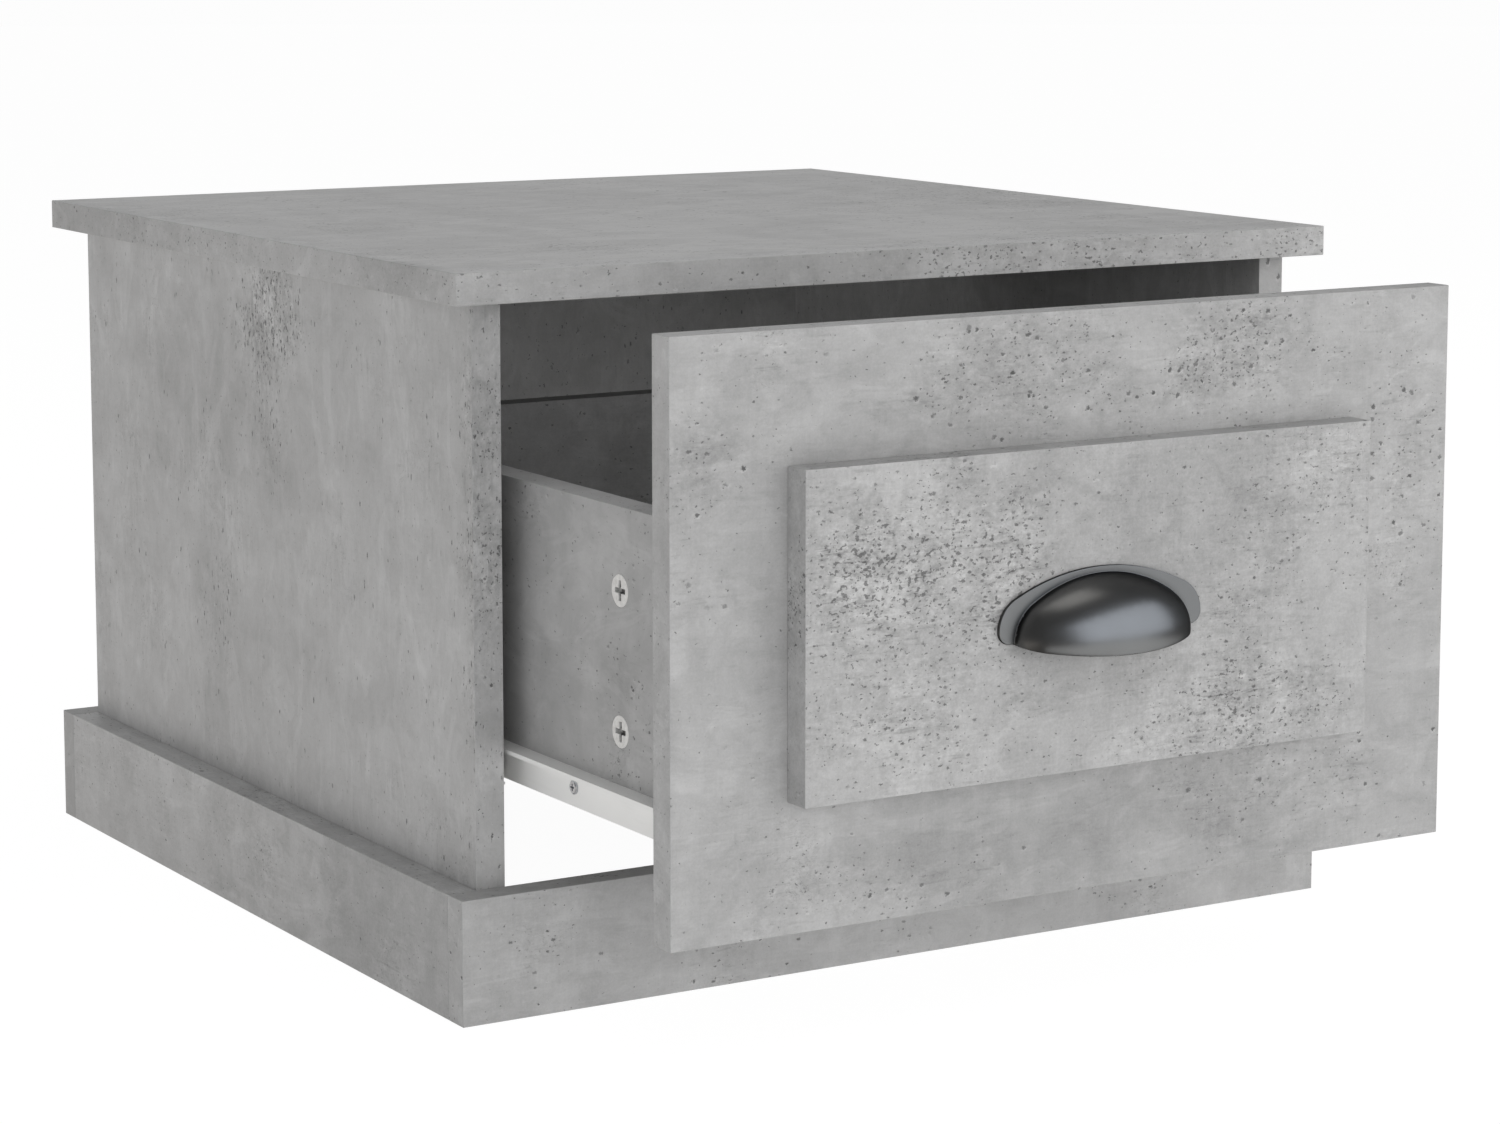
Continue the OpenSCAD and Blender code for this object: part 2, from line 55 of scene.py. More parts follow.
# %% A socket that can be added and multiplied
class Wire:
    """An output of a node tree, or the tree's starting point when there is no socket yet."""

    def __init__(self, tree, socket=None):
        self.tree = tree
        self.socket = socket

    def node(self, kind, settings=None, plugs=None, output=0):
        made = self.tree.nodes.new(kind)
        for name, value in (settings or {}).items():
            setattr(made, name, value)
        for name, value in (plugs or {}).items():
            if isinstance(value, Wire):
                self.tree.links.new(value.socket, made.inputs[name])
            else:
                made.inputs[name].default_value = value
        return Wire(self.tree, made.outputs[output] if made.outputs else None)

    def beside(self, output):
        """Another output of the same node."""
        return Wire(self.tree, self.socket.node.outputs[output])

    def sum(self, operation, *values):
        return self.node("ShaderNodeMath", {"operation": operation}, dict(enumerate(values)))

    def __add__(self, other):
        return self.sum("ADD", self, other)

    def __sub__(self, other):
        return self.sum("SUBTRACT", self, other)

    def __rsub__(self, other):
        return self.sum("SUBTRACT", other, self)

    def __mul__(self, other):
        return self.sum("MULTIPLY", self, other)

    def __truediv__(self, other):
        return self.sum("DIVIDE", self, other)

    __radd__ = __add__
    __rmul__ = __mul__


print("a Wire knows", ", ".join(name for name, part in vars(Wire).items() if callable(part)))

# %% [markdown]
# ## Small tools for every finish
# Each finish needs the same few things: a place on the piece in metres, noise, a soft threshold,
# a mix of two colours, and a finished shader. The place comes from the object's own coordinates,
# so a pattern stays on its board when the drawer moves. A noise's scale is then the number of
# marks in a metre. The Mix node has several sockets of the same name, which are found by number,
# and those numbers stand here once.

# %% Tools that the finishes share
def new_finish(name):
    material = bpy.data.materials.new(name)
    material.use_nodes = True
    material.node_tree.nodes.clear()
    return material, Wire(material.node_tree)


def vector(tree, operation, *values, output=0):
    """Vector Math. Lengths and dot products are plain numbers, and leave by output 1."""
    settings = {"operation": operation}
    return tree.node("ShaderNodeVectorMath", settings, dict(enumerate(values)), output)


def noise(tree, place, scale, detail=2.0, rough=0.5, bend=0.0):
    plugs = {"Vector": place, "Scale": scale, "Detail": detail, "Roughness": rough}
    return tree.node("ShaderNodeTexNoise", None, {**plugs, "Distortion": bend})


def soft_step(tree, value, low, high, start=0.0, end=1.0):
    plugs = {"Value": value, "From Min": low, "From Max": high, "To Min": start, "To Max": end}
    return tree.node("ShaderNodeMapRange", {"interpolation_type": "SMOOTHSTEP"}, plugs)


def mix_colour(tree, mask, first, second):
    settings = {"data_type": "RGBA", "clamp_factor": True}
    return tree.node("ShaderNodeMix", settings, {0: mask, 6: first, 7: second}, 2)


def mix_place(tree, mask, first, second):
    settings = {"data_type": "VECTOR", "clamp_factor": True}
    return tree.node("ShaderNodeMix", settings, {0: mask, 4: first, 5: second}, 1)


def grey(level, warmth=0.0):
    return (level * (1 + warmth), level, level * (1 - warmth), 1.0)


def bump(tree, height, depth, strength):
    plugs = {"Height": height, "Distance": depth, "Strength": strength}
    return tree.node("ShaderNodeBump", None, plugs)


def place_on(tree):
    """Where a point lies on its own piece, in metres."""
    return tree.node("ShaderNodeTexCoord", None, None, 3)


def stretched(tree, place, *factors):
    """The place with each axis scaled: a small factor draws the pattern out along that axis."""
    return vector(tree, "MULTIPLY", place, factors)


def close_finish(material, tree, plugs):
    shader = tree.node("ShaderNodeBsdfPrincipled", None, plugs)
    tree.node("ShaderNodeOutputMaterial", None, {"Surface": shader})
    return material


def dress(material, *names):
    for name in names:
        for slot in nodes[name].material_slots:
            slot.material = material
    print(f"{material.name}: {len(material.node_tree.nodes)} nodes on {len(names)} piece(s)")


print("tools:", ", ".join(tool.__name__ for tool in (
    vector, noise, soft_step, mix_colour, mix_place, grey, bump, place_on, stretched)))

# %% [markdown]
# ## The concrete-look foil
# The boards are chipboard pressed with a printed paper foil. The print has soft clouds as wide
# as a hand, thin streaks that run with the board's length, pale smears as if from a trowel,
# scuffs and hairline cracks, and small dark pits that gather in worn patches. Each pit has a
# pale lip below it, a painted highlight as if light fell on its lower rim. An image of concrete
# would repeat and has one scale only, so noise makes each layer at its real size: clouds near
# 12 cm, mottles near 2 cm, streaks 2 cm long and under a millimetre wide, scuffs 1 cm long, pits
# up to 2.6 mm across.
#
# The first thing to know is where on the foil a point lies. Each board is cut from another part
# of the sheet, so its place is shifted. Its narrow edges carry a separate strip of the same
# foil, so there the pattern jumps. Squeezing the place along the board's grain draws clouds and
# pits out along it.

# %% Where a point lies on the foil
X, Y, Z = 0, 1, 2
AXES = ((1.0, 0.0, 0.0), (0.0, 1.0, 0.0), (0.0, 0.0, 1.0))
CUT = (0.73, 1.31, 0.57)
STRIP_CUT = (3.1, 1.7, 2.3)


def board_place(tree, face, seed):
    """The place on the board, the place on the foil, and a mask of the narrow edge strips."""
    spot = place_on(tree)
    normal = tree.node("ShaderNodeTexCoord", None, None, 1)
    facing = tree.sum("ABSOLUTE", vector(tree, "DOT_PRODUCT", normal, AXES[face], output=1))
    on_edge = soft_step(tree, facing, 0.80, 0.60)
    shift = tuple(seed * step for step in CUT)
    flat = vector(tree, "ADD", spot, shift)
    strip = vector(tree, "ADD", spot, tuple(a + b for a, b in zip(shift, STRIP_CUT)))
    return spot, mix_place(tree, on_edge, flat, strip), on_edge


def squeezed(tree, place, grain, along, across=1.0):
    return stretched(tree, place, *(along if axis == grain else across for axis in (X, Y, Z)))


print("a seed moves the foil by", CUT, "m, an edge strip by another", STRIP_CUT, "m")

# %% [markdown]
# ## Worn patches and pits
# Wear gathers in patches with ragged outlines, and where they lie is listed for each board. A
# patch is an ellipsoid whose distance is disturbed by noise. Faint shades of the same kind make
# some areas darker or paler, and some of them are painted light and shade. A pit copies an air
# bubble of real concrete: a dark hollow, with a pale lip under it that is a painted highlight,
# as if light fell on its lower rim. A Voronoi texture has one point in each cell, and the cell's
# random colour works as three dice: whether there is a pit, how large it is and how dark. The
# texture measures in cells, so a pit's radius is in cells too. Noise bends the place first, or
# every pit would be a neat circle.

# %% Blots and pits
def blots(tree, spot, ragged, join, patches):
    """One mask of ragged blots. Each has a centre, its radii and a strength; `join` merges two."""
    mask = None
    for centre, radii, strength in patches:
        reach = vector(tree, "DIVIDE", vector(tree, "SUBTRACT", spot, centre), radii)
        far = vector(tree, "LENGTH", reach, output=1) + ragged
        blot = soft_step(tree, far, 1.40, 0.10) * strength
        mask = blot if mask is None else tree.sum(join, mask, blot)
    return mask


LARGE_PIT = (0.0013, 0.0036)
SMALL_PIT = (0.0008, 0.0019)


def pits(tree, place, grain, kind, long, share):
    """Dark hollows and a painted highlight on their lower rims. A cell has one when its first die
    is under `share`.
    """
    size, cell = kind
    plugs = {"Vector": place, "Scale": 0.8 / size, "Detail": 3.0, "Roughness": 0.7}
    wobble = tree.node("ShaderNodeTexNoise", None, plugs, 1)
    push = vector(tree, "SUBTRACT", wobble, (0.5, 0.5, 0.5))
    bent = vector(tree, "MULTIPLY_ADD", push, (size * 2.6,) * 3, place)
    drawn = squeezed(tree, bent, grain, 1.0 / long)
    plugs = {"Vector": drawn, "Scale": 1.0 / cell}
    near = tree.node("ShaderNodeTexVoronoi", {"feature": "F1"}, plugs)
    chance = tree.node("ShaderNodeSeparateColor", None, {"Color": near.beside("Color")})
    grade, depth = chance.beside(1), chance.beside(2)
    radius = (0.35 + 0.65 * grade * grade * grade) * (size / cell)
    kept = soft_step(tree, chance - share, 0.02, -0.02) * (0.60 + 0.40 * depth)
    hollow = soft_step(tree, near / radius, 1.25, 0.60) * kept
    aside = vector(tree, "SUBTRACT", drawn, near.beside("Position"))
    down = (0.35 / cell, 0.35 / cell, -0.9 / cell)
    below = vector(tree, "DOT_PRODUCT", aside, down, output=1) / radius
    # A painted highlight: a pale rim on the lower side of each hollow, as if light fell on it.
    rim_highlight = soft_step(tree, near / radius, 2.1, 1.3) * soft_step(tree, below, 0.3, 1.0) * kept
    return hollow, rim_highlight * (1 - hollow)


for size, cell in (LARGE_PIT, SMALL_PIT):
    print(f"pits up to {size * 2000:.1f} mm across, one at most in each {cell * 1000:.1f} mm")

# %% [markdown]
# ## The foil's recipe
# A printer lays ink over ink. Here each layer is a noise minus its middle value, times how
# strongly it shows, and all are added to one grey level. The level then picks a grey between the
# darkest and the palest ink. The loose areas and the worn patches steer the rest: there the
# print is rougher and has more pits. The named numbers of the layers, from CLOUDS to GRIT, say
# how many of their marks fit in a metre.

# %% The foil, one board at a time
FOIL_DARK, FOIL_LIGHT = 0.075, 0.62
PRINT_LEVEL = 0.70
RELIEF = 0.00012
CLOUDS, UNEVEN, BANDS, RAGS, SMEARS, MOTTLES = 9.0, 15.0, 24.0, 26.0, 30.0, 55.0
SCABS, SCUFFS, CRUMBS, HAIRS, STREAKS, GRIT = 330.0, 400.0, 520.0, 560.0, 620.0, 900.0


def concrete_foil(name, grain, face, seed, patches=(), shades=(), tone=1.0, strip=0.96,
                  pitting=0.16, stray=0.015, long=1.3, drift=0.8, rough=0.55):
    """One board's foil. `grain` is the axis it runs along, `face` the one its broad side looks at.

    `patches` are worn and `shades` paler or darker: each has a centre, its radii and a strength.
    Some shades are painted light and shade, where the light on a board falls unevenly. `tone` and
    `strip` are how bright the faces and the narrow edges are, and on boards that sit in more or
    less light than the rest they are painted light and shade too. `pitting` is the share of pits
    in loose areas and `stray` the share everywhere. A larger `long` draws out the pits, a smaller
    `drift` the clouds. `rough` is how much fine print shows.
    """
    material, tree = new_finish(name)
    spot, place, on_edge = board_place(tree, face, seed)
    flow = squeezed(tree, place, grain, drift)
    clouds = noise(tree, flow, CLOUDS, 4.0, 0.60, 0.8)
    mottle = noise(tree, flow, MOTTLES, 5.0, 0.72, 0.6)
    streaks = noise(tree, squeezed(tree, place, grain, 0.05), STREAKS, 2.0, 0.6)
    hairs = noise(tree, squeezed(tree, place, grain, 1.0, 0.08), HAIRS, 2.0, 0.6)
    smear = noise(tree, squeezed(tree, place, grain, drift * 0.5), SMEARS, 4.0, 0.65, 1.4)
    scabs = noise(tree, squeezed(tree, place, grain, 0.7), SCABS, 4.0, 0.75)
    grit = noise(tree, place, GRIT, 2.0, 0.7)
    uneven = noise(tree, place, UNEVEN, 3.0, 0.6)
    bands = noise(tree, squeezed(tree, place, grain, 1.0, 0.22), BANDS, 2.0, 0.5)
    crumbs = noise(tree, squeezed(tree, place, grain, 0.75), CRUMBS, 2.0, 0.55)
    scuffs = noise(tree, squeezed(tree, place, grain, 0.14), SCUFFS, 3.0, 0.65)

    loose = soft_step(tree, uneven, 0.46, 0.68)
    ragged = (noise(tree, place, RAGS, 4.0, 0.65) - 0.5) * 3.0
    wear = blots(tree, spot, ragged, "MAXIMUM", patches) if patches else loose * 0.2
    share = wear * 0.55 + loose * pitting + on_edge * 0.04 + stray
    large, rim_highlight = pits(tree, place, grain, LARGE_PIT, long, share)
    small, _ = pits(tree, place, grain, SMALL_PIT, long * 1.3, share * 1.3)
    crumbled = soft_step(tree, crumbs + wear * 0.12 + loose * pitting * 0.20, 0.690, 0.740)
    dark = tree.sum("MAXIMUM", tree.sum("MAXIMUM", large, small * 0.9), crumbled * 0.75)
    beside_line = tree.sum("ABSOLUTE", mottle - 0.5)
    cracks = soft_step(tree, beside_line, 0.009, 0.003) * soft_step(tree, uneven, 0.57, 0.63)
    rubbed = (0.15 + loose * 0.35 + wear * 0.6) * (0.4 + rough)
    pale_scuff = soft_step(tree, scuffs, 0.40, 0.34)
    dark_scuff = soft_step(tree, scuffs, 0.60, 0.67)

    level = PRINT_LEVEL + (clouds - 0.5) * 0.42 + (mottle - 0.5) * (0.45 + wear * 0.5)
    threads = (streaks - 0.5) * 0.22 + (hairs - 0.5) * 0.22
    level = level + threads * soft_step(tree, uneven, 0.25, 0.60) * rough
    level = level + (grit - 0.5) * 0.42 * rough + soft_step(tree, smear, 0.53, 0.61) * 0.07
    level = level + soft_step(tree, bands, 0.46, 0.54) * 0.045
    level = level + (scabs - 0.5) * (wear * 1.1 + (loose * 0.5 + 0.25) * rough) - wear * 0.06
    level = level - cracks * 0.16 + (pale_scuff * 0.16 - dark_scuff * 0.30) * rubbed
    # Shades: paler and darker areas, some of them painted light and shade.
    if shades:
        level = level + blots(tree, spot, ragged * 0.7, "ADD", shades)
    # The pale lower rims of the pits are a painted highlight. `tone` and `strip` scale the faces
    # and the edge strips, on some boards as painted light and shade.
    level = (level + rim_highlight * 0.20) * (1 - dark * 0.88) * (tone - on_edge * (tone - strip))

    return close_finish(material, tree, {
        "Base Color": mix_colour(tree, level, grey(FOIL_DARK), grey(FOIL_LIGHT, 0.002)),
        "Roughness": 0.50 + (mottle - 0.5) * 0.25 + dark * 0.25,
        "Specular IOR Level": 0.35,
        "Normal": bump(tree, grit * 0.25 + streaks * 0.20 - dark, RELIEF, 0.7),
    })


print(f"foil from grey {FOIL_DARK} to {FOIL_LIGHT}, with a relief of {RELIEF * 1000:.2f} mm")

# %% [markdown]
# ## Which way the foil runs on each board
# Long boards are cut with the pattern along them. On the side panels and the back it stands
# upright; on the top and the plinth it lies level. Each board has its own seed, and its worn
# patches sit where the print happens to be worn, such as high on the left panel and along its
# front edge. One foil could serve for all, but then the same blot would show again and again.

# %% The boards of the cabinet
# Painted light and shade: the top is painted paler than the other boards (tone 1.22), as light
# from above falls on it, and its shades pale the front edge and darken the left edge near the
# corners.
dress(concrete_foil("foil_top", X, Z, 1.3, [
    ((0.12, -0.162, 0.345), (0.16, 0.03, 0.03), 0.45),
    ((0.20, 0.10, 0.350), (0.10, 0.08, 0.03), 0.25),
], shades=[
    ((0.200, -0.162, 0.343), (0.300, 0.016, 0.030), 0.20),
    ((-0.220, -0.162, 0.343), (0.060, 0.012, 0.030), 0.08),
    ((-0.250, -0.115, 0.343), (0.010, 0.060, 0.020), -0.14),
    ((-0.250, 0.260, 0.343), (0.010, 0.090, 0.020), -0.10),
], tone=1.22, strip=0.95), "top_panel")
dress(concrete_foil("foil_left_side", Z, X, 2.1, [
    ((-0.235, 0.080, 0.315), (0.010, 0.038, 0.050), 0.90),
    ((-0.235, 0.075, 0.262), (0.010, 0.022, 0.040), 0.35),
    ((-0.235, 0.148, 0.140), (0.010, 0.030, 0.035), 0.30),
    ((-0.228, -0.147, 0.225), (0.05, 0.014, 0.110), 0.65),
], shades=[
    ((-0.235, 0.141, 0.125), (0.05, 0.050, 0.040), -0.06),
    ((-0.235, 0.250, 0.156), (0.05, 0.040, 0.050), -0.06),
    ((-0.235, 0.077, 0.236), (0.05, 0.035, 0.050), -0.07),
    ((-0.235, -0.012, 0.204), (0.05, 0.045, 0.060), 0.05),
    ((-0.235, -0.100, 0.186), (0.05, 0.035, 0.060), 0.04),
    ((-0.235, 0.243, 0.091), (0.05, 0.050, 0.030), 0.05),
    ((-0.235, 0.170, 0.270), (0.05, 0.080, 0.070), -0.05),
], long=1.8, pitting=0.03, drift=0.9, rough=0.36, stray=0.022, tone=0.985), "left_side_panel")
dress(concrete_foil("foil_right_side", Z, X, 3.7, [
    ((0.235, -0.050, 0.250), (0.010, 0.060, 0.060), 0.70),
    ((0.235, 0.200, 0.130), (0.010, 0.050, 0.050), 0.45),
], long=1.8, pitting=0.06, drift=0.9, rough=0.42, stray=0.020), "right_side_panel")
dress(concrete_foil("foil_back", Z, Y, 4.4, [
    ((0.080, 0.323, 0.240), (0.090, 0.010, 0.050), 0.60),
    ((-0.150, 0.323, 0.120), (0.050, 0.010, 0.060), 0.50),
], long=1.8, pitting=0.05, drift=0.9, rough=0.42, stray=0.020), "back_panel")
# Painted light: the shade low in the middle of the plinth's front is a pale patch that lifts the
# shadow under the drawer front.
dress(concrete_foil("foil_plinth_front", X, Y, 5.2, [
    ((0.180, -0.162, 0.045), (0.070, 0.05, 0.025), 0.55),
], shades=[
    ((0.040, -0.162, 0.010), (0.200, 0.050, 0.060), 0.15),
], strip=0.90), "plinth_front")
dress(concrete_foil("foil_plinth_back", X, Y, 6.1, [
    ((-0.100, 0.338, 0.030), (0.070, 0.05, 0.025), 0.50),
], strip=0.78), "plinth_back")
# Painted light: the pale edge strip lifts the shade on the plinth's top ledge. The shade darkens
# the face towards the front.
dress(concrete_foil("foil_plinth_left", Y, X, 7.9, [
    ((-0.250, 0.090, 0.035), (0.05, 0.060, 0.020), 0.20),
], shades=[
    ((-0.250, -0.080, 0.035), (0.05, 0.200, 0.060), -0.12),
], strip=1.15), "plinth_left")
dress(concrete_foil("foil_plinth_right", Y, X, 8.3, [
    ((0.250, 0.150, 0.030), (0.05, 0.070, 0.020), 0.40),
]), "plinth_right")

# %% [markdown]
# ## The drawer's boards
# The front and its raised panel are the face of the table, so most worn patches are set here:
# along the top of the front, and left of the pull and below it on the right on the raised panel.
# The sides get a calmer print, as parts that show only when the drawer is open often do. Their
# faces are painted darker as a painted shade from the cabinet around them, and the edge strip on
# top of them is paler, a painted light. The back's face is painted paler to lift the shade
# inside the drawer, and the strip on top of the back is dark, a painted shadow that draws a line
# across the drawer.

# %% The boards of the drawer
dress(concrete_foil("foil_drawer_front", X, Y, 9.6, [
    ((-0.020, -0.297, 0.305), (0.070, 0.05, 0.028), 0.45),
    ((0.082, -0.297, 0.305), (0.055, 0.05, 0.030), 0.70),
    ((-0.200, -0.297, 0.272), (0.022, 0.05, 0.022), 0.35),
    ((-0.120, -0.297, 0.075), (0.055, 0.05, 0.016), 0.35),
    ((0.125, -0.297, 0.098), (0.050, 0.05, 0.022), 0.40),
    ((0.195, -0.297, 0.250), (0.030, 0.05, 0.060), 0.25),
], shades=[
    ((0.020, -0.297, 0.310), (0.190, 0.05, 0.030), -0.07),
    ((-0.060, -0.297, 0.090), (0.190, 0.05, 0.030), -0.10),
    ((-0.160, -0.297, 0.184), (0.030, 0.05, 0.040), -0.06),
    ((-0.122, -0.297, 0.068), (0.035, 0.05, 0.012), 0.12),
    ((-0.190, -0.297, 0.130), (0.025, 0.05, 0.060), 0.03),
], pitting=0.08, stray=0.007, rough=0.5, strip=1.02), "drawer_front")
dress(concrete_foil("foil_raised_panel", X, Y, 10.8, [
    ((-0.100, -0.312, 0.222), (0.075, 0.05, 0.045), 1.00),
    ((-0.095, -0.312, 0.165), (0.060, 0.05, 0.040), 0.50),
    ((0.088, -0.312, 0.146), (0.065, 0.05, 0.024), 0.50),
    ((0.105, -0.312, 0.222), (0.055, 0.05, 0.035), 0.30),
], shades=[
    ((-0.010, -0.312, 0.250), (0.110, 0.05, 0.022), -0.07),
    ((-0.110, -0.312, 0.150), (0.060, 0.05, 0.030), 0.04),
    ((0.100, -0.312, 0.200), (0.080, 0.05, 0.060), -0.03),
], pitting=0.12, rough=0.7, stray=0.035, tone=1.03), "drawer_raised_panel")
# Painted shade and light: the sides' faces are painted darker (tone 0.89) for the shade inside the
# cabinet, their top edge strip paler (1.25) where light from above reaches it, and two darker
# patches sit near the front.
dress(concrete_foil("foil_drawer_sides", Y, X, 11.5, shades=[
    ((-0.2075, -0.230, 0.170), (0.05, 0.020, 0.020), -0.10),
    ((-0.2075, -0.195, 0.155), (0.05, 0.040, 0.018), -0.05),
], pitting=0.02, rough=0.2, stray=0.008, tone=0.89, strip=1.25),
      "drawer_left_side", "drawer_right_side")
# Painted light and shade: the back's face is painted paler (tone 1.10) to lift the shade inside
# the drawer, and the strip on its top edge dark (0.30), a painted shadow line.
dress(concrete_foil("foil_drawer_back", X, Y, 12.2, pitting=0.05, tone=1.10, strip=0.30),
      "drawer_back")

# %% [markdown]
# ## The drawer's bottom sheet
# The bottom is a 3 mm sheet of hardboard, printed grey on its upper face. It is plainer than the
# boards: fine pressed fibres that cross each other, with a faint waviness. Two noises, each
# stretched another way, give the crossing.

# %% The bottom sheet
FIBRES = 1400.0


def printed_hardboard(name):
    material, tree = new_finish(name)
    spot = place_on(tree)
    fibres = noise(tree, stretched(tree, spot, 0.15, 1.0, 1.0), FIBRES, 2.0, 0.6)
    crossed = noise(tree, stretched(tree, spot, 1.0, 0.15, 1.0), FIBRES, 2.0, 0.6)
    waves = noise(tree, spot, 9.0, 2.0, 0.5)
    level = 0.5 + (fibres - 0.5) * 0.5 + (crossed - 0.5) * 0.5 + (waves - 0.5) * 0.4
    return close_finish(material, tree, {
        "Base Color": mix_colour(tree, level, grey(0.24), grey(0.44)),
        "Roughness": 0.55 + (waves - 0.5) * 0.2,
        "Specular IOR Level": 0.35,
        "Normal": bump(tree, fibres + crossed, 0.00005, 0.6),
    })


dress(printed_hardboard("printed_hardboard"), "drawer_bottom")

# %% [markdown]
# ## Epoxy-coated runners and nylon rollers
# The runners are folded steel sheet with a baked white coat. The coat is smooth with a fine
# orange-peel texture, a little warmer where it is thin, and some dust lies along it. The rollers
# are moulded nylon: creamier, waxy, with turning marks round the axle.

# %% Runner coat and roller nylon
def baked_coat(name):
    material, tree = new_finish(name)
    spot = place_on(tree)
    peel = noise(tree, spot, 1100.0, 1.0, 0.4)
    thick = noise(tree, spot, 40.0, 2.0, 0.5)
    wiped = noise(tree, stretched(tree, spot, 1.0, 0.1, 1.0), 180.0, 3.0, 0.6)
    dust = soft_step(tree, wiped, 0.55, 0.80)
    colour = mix_colour(tree, thick, (0.90, 0.90, 0.885, 1.0), (0.94, 0.94, 0.93, 1.0))
    return close_finish(material, tree, {
        "Base Color": mix_colour(tree, dust * 0.25, colour, (0.72, 0.72, 0.70, 1.0)),
        "Roughness": 0.32 + (peel - 0.5) * 0.12 + dust * 0.2,
        "Specular IOR Level": 0.5,
        "Normal": bump(tree, peel, 0.00004, 0.5),
    })


def moulded_nylon(name):
    material, tree = new_finish(name)
    spot = place_on(tree)
    haze = noise(tree, spot, 220.0, 3.0, 0.5)
    marks = noise(tree, stretched(tree, spot, 1.0, 0.12, 0.12), 2600.0, 1.0, 0.5)
    return close_finish(material, tree, {
        "Base Color": mix_colour(tree, haze, (0.80, 0.80, 0.78, 1.0), (0.90, 0.90, 0.885, 1.0)),
        "Roughness": 0.42 + (marks - 0.5) * 0.25,
        "Specular IOR Level": 0.5,
        "Normal": bump(tree, marks, 0.00003, 0.4),
    })


ROLLERS = ("left_front_roller", "right_front_roller", "left_rear_roller", "right_rear_roller")
dress(baked_coat("baked_coat"),
      "left_cabinet_runner", "right_cabinet_runner", "left_drawer_runner", "right_drawer_runner")
dress(moulded_nylon("moulded_nylon"), *ROLLERS)

# %% [markdown]
# ## Zinc for screws, bolts and cam locks
# Screws and axles are zinc-plated steel: bright, a little blue, and cloudy. The cam locks are
# cast zinc, tumbled to a paler and duller grey, so they look almost white on the grey board.
# Both finishes share one recipe, with other values. A cam lock's cross is a recess, and its
# shade is painted: on the locks that lie flush with the drawer's sides, whatever is deeper than
# the face gets darker, and most of all in the middle, where the slots cross. The locks are two
# above each other on each side, so one distance from the pair's middle height serves for all.

# %% Zinc plate and cast zinc
LOCK_FACE_X, LOCK_Y, LOCKS_MIDDLE_Z, HALF_PITCH = 0.2075, -0.236, 0.1805, 0.032


def cross_shade(tree, spot):
    """How dark the painted shade in a flush cam lock's cross is at a point."""
    side = tree.node("ShaderNodeSeparateXYZ", None, {"Vector": spot})
    deep = soft_step(tree, tree.sum("ABSOLUTE", side), LOCK_FACE_X - 0.0004, LOCK_FACE_X - 0.0014)
    along = side.beside(1) - LOCK_Y
    above = tree.sum("ABSOLUTE", side.beside(2) - LOCKS_MIDDLE_Z) - HALF_PITCH
    middle = soft_step(tree, along * along + above * above, 0.000012, 0.000003)
    return deep * (0.20 + middle * 0.70)


def zinc(name, dull, bright, rough, metal, flush=False):
    material, tree = new_finish(name)
    spot = place_on(tree)
    bloom = noise(tree, spot, 420.0, 4.0, 0.6)
    grain = noise(tree, spot, 2600.0, 2.0, 0.6)
    colour = mix_colour(tree, soft_step(tree, bloom, 0.3, 0.7), dull, bright)
    if flush:
        # A painted shade: the recess of a flush cam lock's cross goes dark, most of all where the
        # slots cross.
        colour = mix_colour(tree, cross_shade(tree, spot), colour, grey(0.03))
    return close_finish(material, tree, {
        "Base Color": colour,
        "Roughness": rough + (grain - 0.5) * 0.25 + (bloom - 0.5) * 0.2,
        "Metallic": metal,
        "Normal": bump(tree, grain + bloom, 0.00003, 0.5),
    })


dress(zinc("zinc_plate", (0.52, 0.54, 0.57, 1.0), (0.72, 0.74, 0.77, 1.0), 0.32, 1.0),
      "front_roller_axles", "rear_roller_axles", "cabinet_runner_screws", "drawer_runner_screws",
      "top_cam_bolts", "plinth_screws", "cup_pull_screws", "raised_panel_screws",
      "drawer_cam_bolts", "drawer_back_screws")
CAST = ((0.70, 0.70, 0.69, 1.0), (0.84, 0.84, 0.83, 1.0), 0.45, 0.25)
dress(zinc("cast_zinc", *CAST), "top_cam_locks")
dress(zinc("cast_zinc_flush", *CAST, flush=True), "drawer_cam_locks")

# %% [markdown]
# ## The gunmetal cup pull
# The pull is cast, then plated dark and lacquered. It isn't black: it is a dark grey mirror with
# a rough surface, which takes its brightness from what it reflects. The same metal is pale on
# the flat flange, which faces a bright card, dark on top of the dome, and bright low on its
# right. A colour per region would be wrong from every other side, so there is one plate colour
# and the studio does the rest, apart from the corner between the dome and the flange: there the
# Ambient Occlusion node finds the crease and paints a shade into the colour. At a grazing angle
# lacquered plate stays dark, so the edge tint is low.

